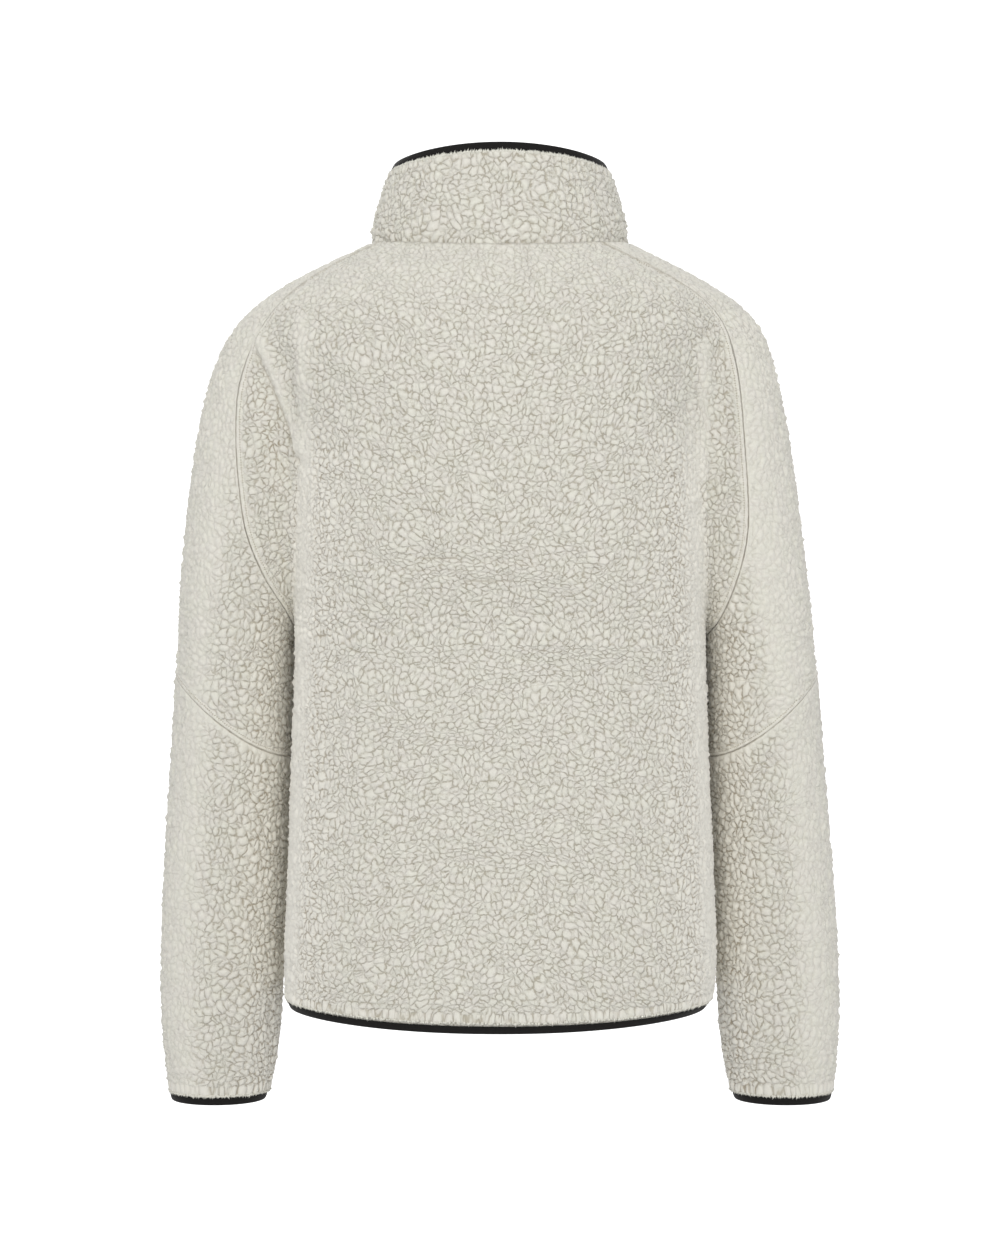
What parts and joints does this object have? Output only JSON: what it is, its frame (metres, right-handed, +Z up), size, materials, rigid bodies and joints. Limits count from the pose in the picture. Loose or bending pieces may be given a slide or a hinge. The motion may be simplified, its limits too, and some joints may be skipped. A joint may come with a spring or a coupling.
{
  "type": "sherpa fleece jacket",
  "caption": "Curly-pile fleece jacket in its worn shape, open at neck, hem and cuffs, with a stand collar, raglan sleeves, bound edges and a closed front zip.",
  "frame": {"origin": "middle of the neck, level with the side of the neck seam, where the wearer's neck and shoulders hold the jacket", "axes": "+Z up, -Y out of the front, +X to the wearer's left"},
  "size_m": [0.5542, 0.272, 0.7603],
  "materials": {
    "fleece": "matte curly pile",
    "binding": "matte knitted elastic",
    "zip_tape": "matte woven tape",
    "zip_teeth": "satin moulded plastic",
    "zip_metal": "satin dark metal"
  },
  "bodies": {
    "jacket": {"back": "fleece", "front_left": "fleece", "front_right": "fleece", "sleeve_upper_left": "fleece", "sleeve_upper_right": "fleece", "sleeve_lower_left": "fleece", "sleeve_lower_right": "fleece", "collar": "fleece", "collar_binding": "binding", "hem_binding": "binding", "cuff_binding_left": "binding", "cuff_binding_right": "binding", "zip_tape_left": "zip_tape", "zip_tape_right": "zip_tape", "zip_teeth": "zip_teeth", "zip_slider": "zip_metal"},
    "pull": {"zip_pull": "zip_metal"}
  },
  "joints": [
    {"name": "zip_pull_hinge", "type": "hinge", "parent": "jacket", "child": "pull", "pos_m": [0, -0.0745, 0.01449], "axis": [-1, 0, 0], "range_deg": [0, 160]}
  ]
}
